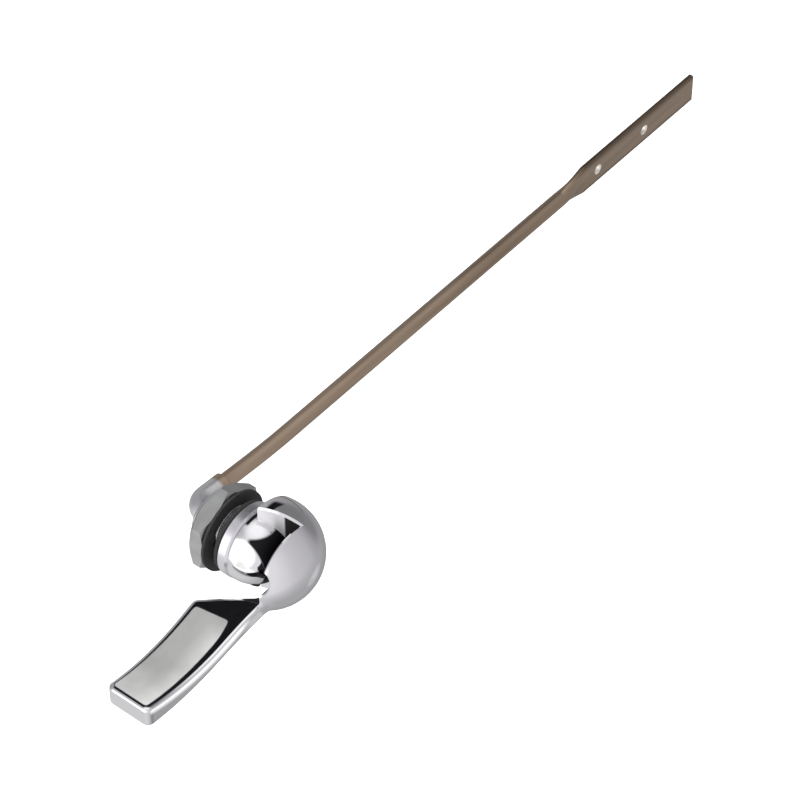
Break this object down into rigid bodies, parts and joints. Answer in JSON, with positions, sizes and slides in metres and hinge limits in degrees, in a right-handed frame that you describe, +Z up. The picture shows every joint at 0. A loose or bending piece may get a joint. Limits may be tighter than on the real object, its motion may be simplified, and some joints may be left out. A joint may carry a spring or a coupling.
{
  "type": "cistern lever",
  "caption": "Front-mounted cistern lever: chrome ball-hub handle with a curved finger blade, threaded bushing with hex nut, bent spindle, and a brass trip rod with a flattened, drilled end.",
  "frame": {"origin": "on the pivot axis, in the plane where the gasket's rear face meets the outside of the tank wall", "axes": "+X along the trip rod, +Y into the tank along the pivot axis, +Z up"},
  "size_m": [0.295, 0.0462, 0.0319],
  "materials": {
    "handle_chrome": "polished, with a brushed finger face",
    "bushing_chrome": "polished",
    "screw_steel": "dark",
    "spindle_steel": "plated, satin",
    "nut_steel": "plated, dull",
    "gasket_rubber": "matte",
    "washer_plastic": "matte",
    "rod_brass": "dull, slightly tarnished"
  },
  "bodies": {
    "mount": {"mounting_bushing": "bushing_chrome", "flange_gasket": "gasket_rubber", "wall_washer": "gasket_rubber", "mounting_nut": "nut_steel"},
    "lever": {"handle": "handle_chrome", "handle_set_screw": "screw_steel", "spindle": "spindle_steel", "thrust_washer": "washer_plastic", "trip_rod": "rod_brass"}
  },
  "joints": [
    {"name": "lever_pivot", "type": "hinge", "parent": "mount", "child": "lever", "pos_m": [0, 0, 0], "axis": [0, -1, 0], "range_deg": [0, 28]}
  ]
}
